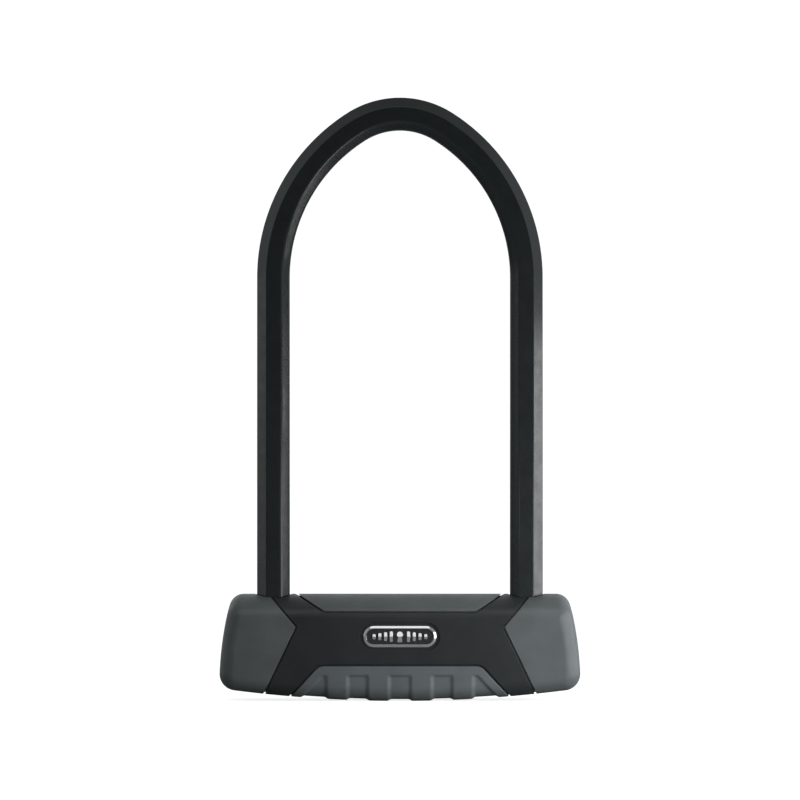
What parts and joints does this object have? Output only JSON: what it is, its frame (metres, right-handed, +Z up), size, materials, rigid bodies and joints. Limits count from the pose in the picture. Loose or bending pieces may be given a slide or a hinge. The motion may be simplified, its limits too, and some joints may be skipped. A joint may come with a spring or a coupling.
{
  "type": "u lock",
  "caption": "Bicycle U-lock: coated square steel shackle in a covered crossbar with a disc cylinder and two bolts.",
  "frame": {"origin": "under the middle of the crossbar, at the level of the lowest land of its grip", "axes": "+Z up along the shackle's legs, +X along the crossbar, front with the badge towards -Y"},
  "size_m": [0.1762, 0.0403, 0.2952],
  "materials": {
    "bar_steel": "hardened, dark oxide",
    "coat": "moulded coat, satin",
    "dark_plastic": "moulded, fine grain, satin",
    "grey_plastic": "moulded, fine grain, satin",
    "grip_plastic": "soft-touch moulding",
    "chrome": "bright plating",
    "badge_dark": "smooth",
    "seal_rubber": "matt",
    "casing_steel": "plated",
    "zinc": "cast",
    "brass": "turned",
    "hard_steel": "ground",
    "shutter_steel": "polished"
  },
  "bodies": {
    "crossbar": {"front_cover": "dark_plastic", "rear_cover": "dark_plastic", "left_end_cap": "grey_plastic", "right_end_cap": "grey_plastic", "top_panel": "grey_plastic", "grip_pad": "grip_plastic", "badge_bezel": "chrome", "badge_plate": "badge_dark", "badge_emblem": "chrome", "left_leg_seal": "seal_rubber", "right_leg_seal": "seal_rubber", "crossbar_casing": "casing_steel", "left_end_plate": "casing_steel", "right_end_plate": "casing_steel", "lock_chassis": "zinc", "left_leg_socket": "casing_steel", "right_leg_socket": "casing_steel", "left_leg_buffer": "seal_rubber", "right_leg_buffer": "seal_rubber", "cylinder_housing": "brass", "shutter_pin": "hard_steel", "shutter_spring": "hard_steel"},
    "shackle": {"shackle_bar": "bar_steel", "shackle_sleeve": "coat"},
    "key_rotor": {"anti_drill_disc": "hard_steel", "rotor_sleeve": "brass", "code_discs": "brass", "disc_spacers": "hard_steel", "sidebar": "hard_steel", "circlip": "hard_steel", "drive_cam": "hard_steel"},
    "left_bolt_body": {"left_bolt": "hard_steel"},
    "right_bolt_body": {"right_bolt": "hard_steel"},
    "shutter": {"keyhole_shutter": "shutter_steel"}
  },
  "joints": [
    {"name": "shackle_lift", "type": "slide", "parent": "crossbar", "child": "shackle", "axis": [0, 0, 1], "range_m": [0, 0.06]},
    {"name": "key_turn", "type": "hinge", "parent": "crossbar", "child": "key_rotor", "pos_m": [0, 0, 0.02], "axis": [0, 0, 1], "range_deg": [0, 90]},
    {"name": "left_bolt_throw", "type": "slide", "parent": "crossbar", "child": "left_bolt_body", "axis": [-1, 0, 0], "range_m": [0, 0.00707]},
    {"name": "right_bolt_throw", "type": "slide", "parent": "crossbar", "child": "right_bolt_body", "axis": [1, 0, 0], "range_m": [0, 0.0072]},
    {"name": "shutter_swing", "type": "hinge", "parent": "crossbar", "child": "shutter", "pos_m": [0.013, 0, 0.005], "axis": [0, 0, -1], "range_deg": [0, 46], "stiffness_Nm_per_rad": 0.01, "springref_deg": -17.19}
  ],
  "couplings": [
    {"joint": "key_turn", "follows": "left_bolt_throw", "rad_per_m": 222.14},
    {"joint": "right_bolt_throw", "follows": "left_bolt_throw", "ratio": 1}
  ]
}
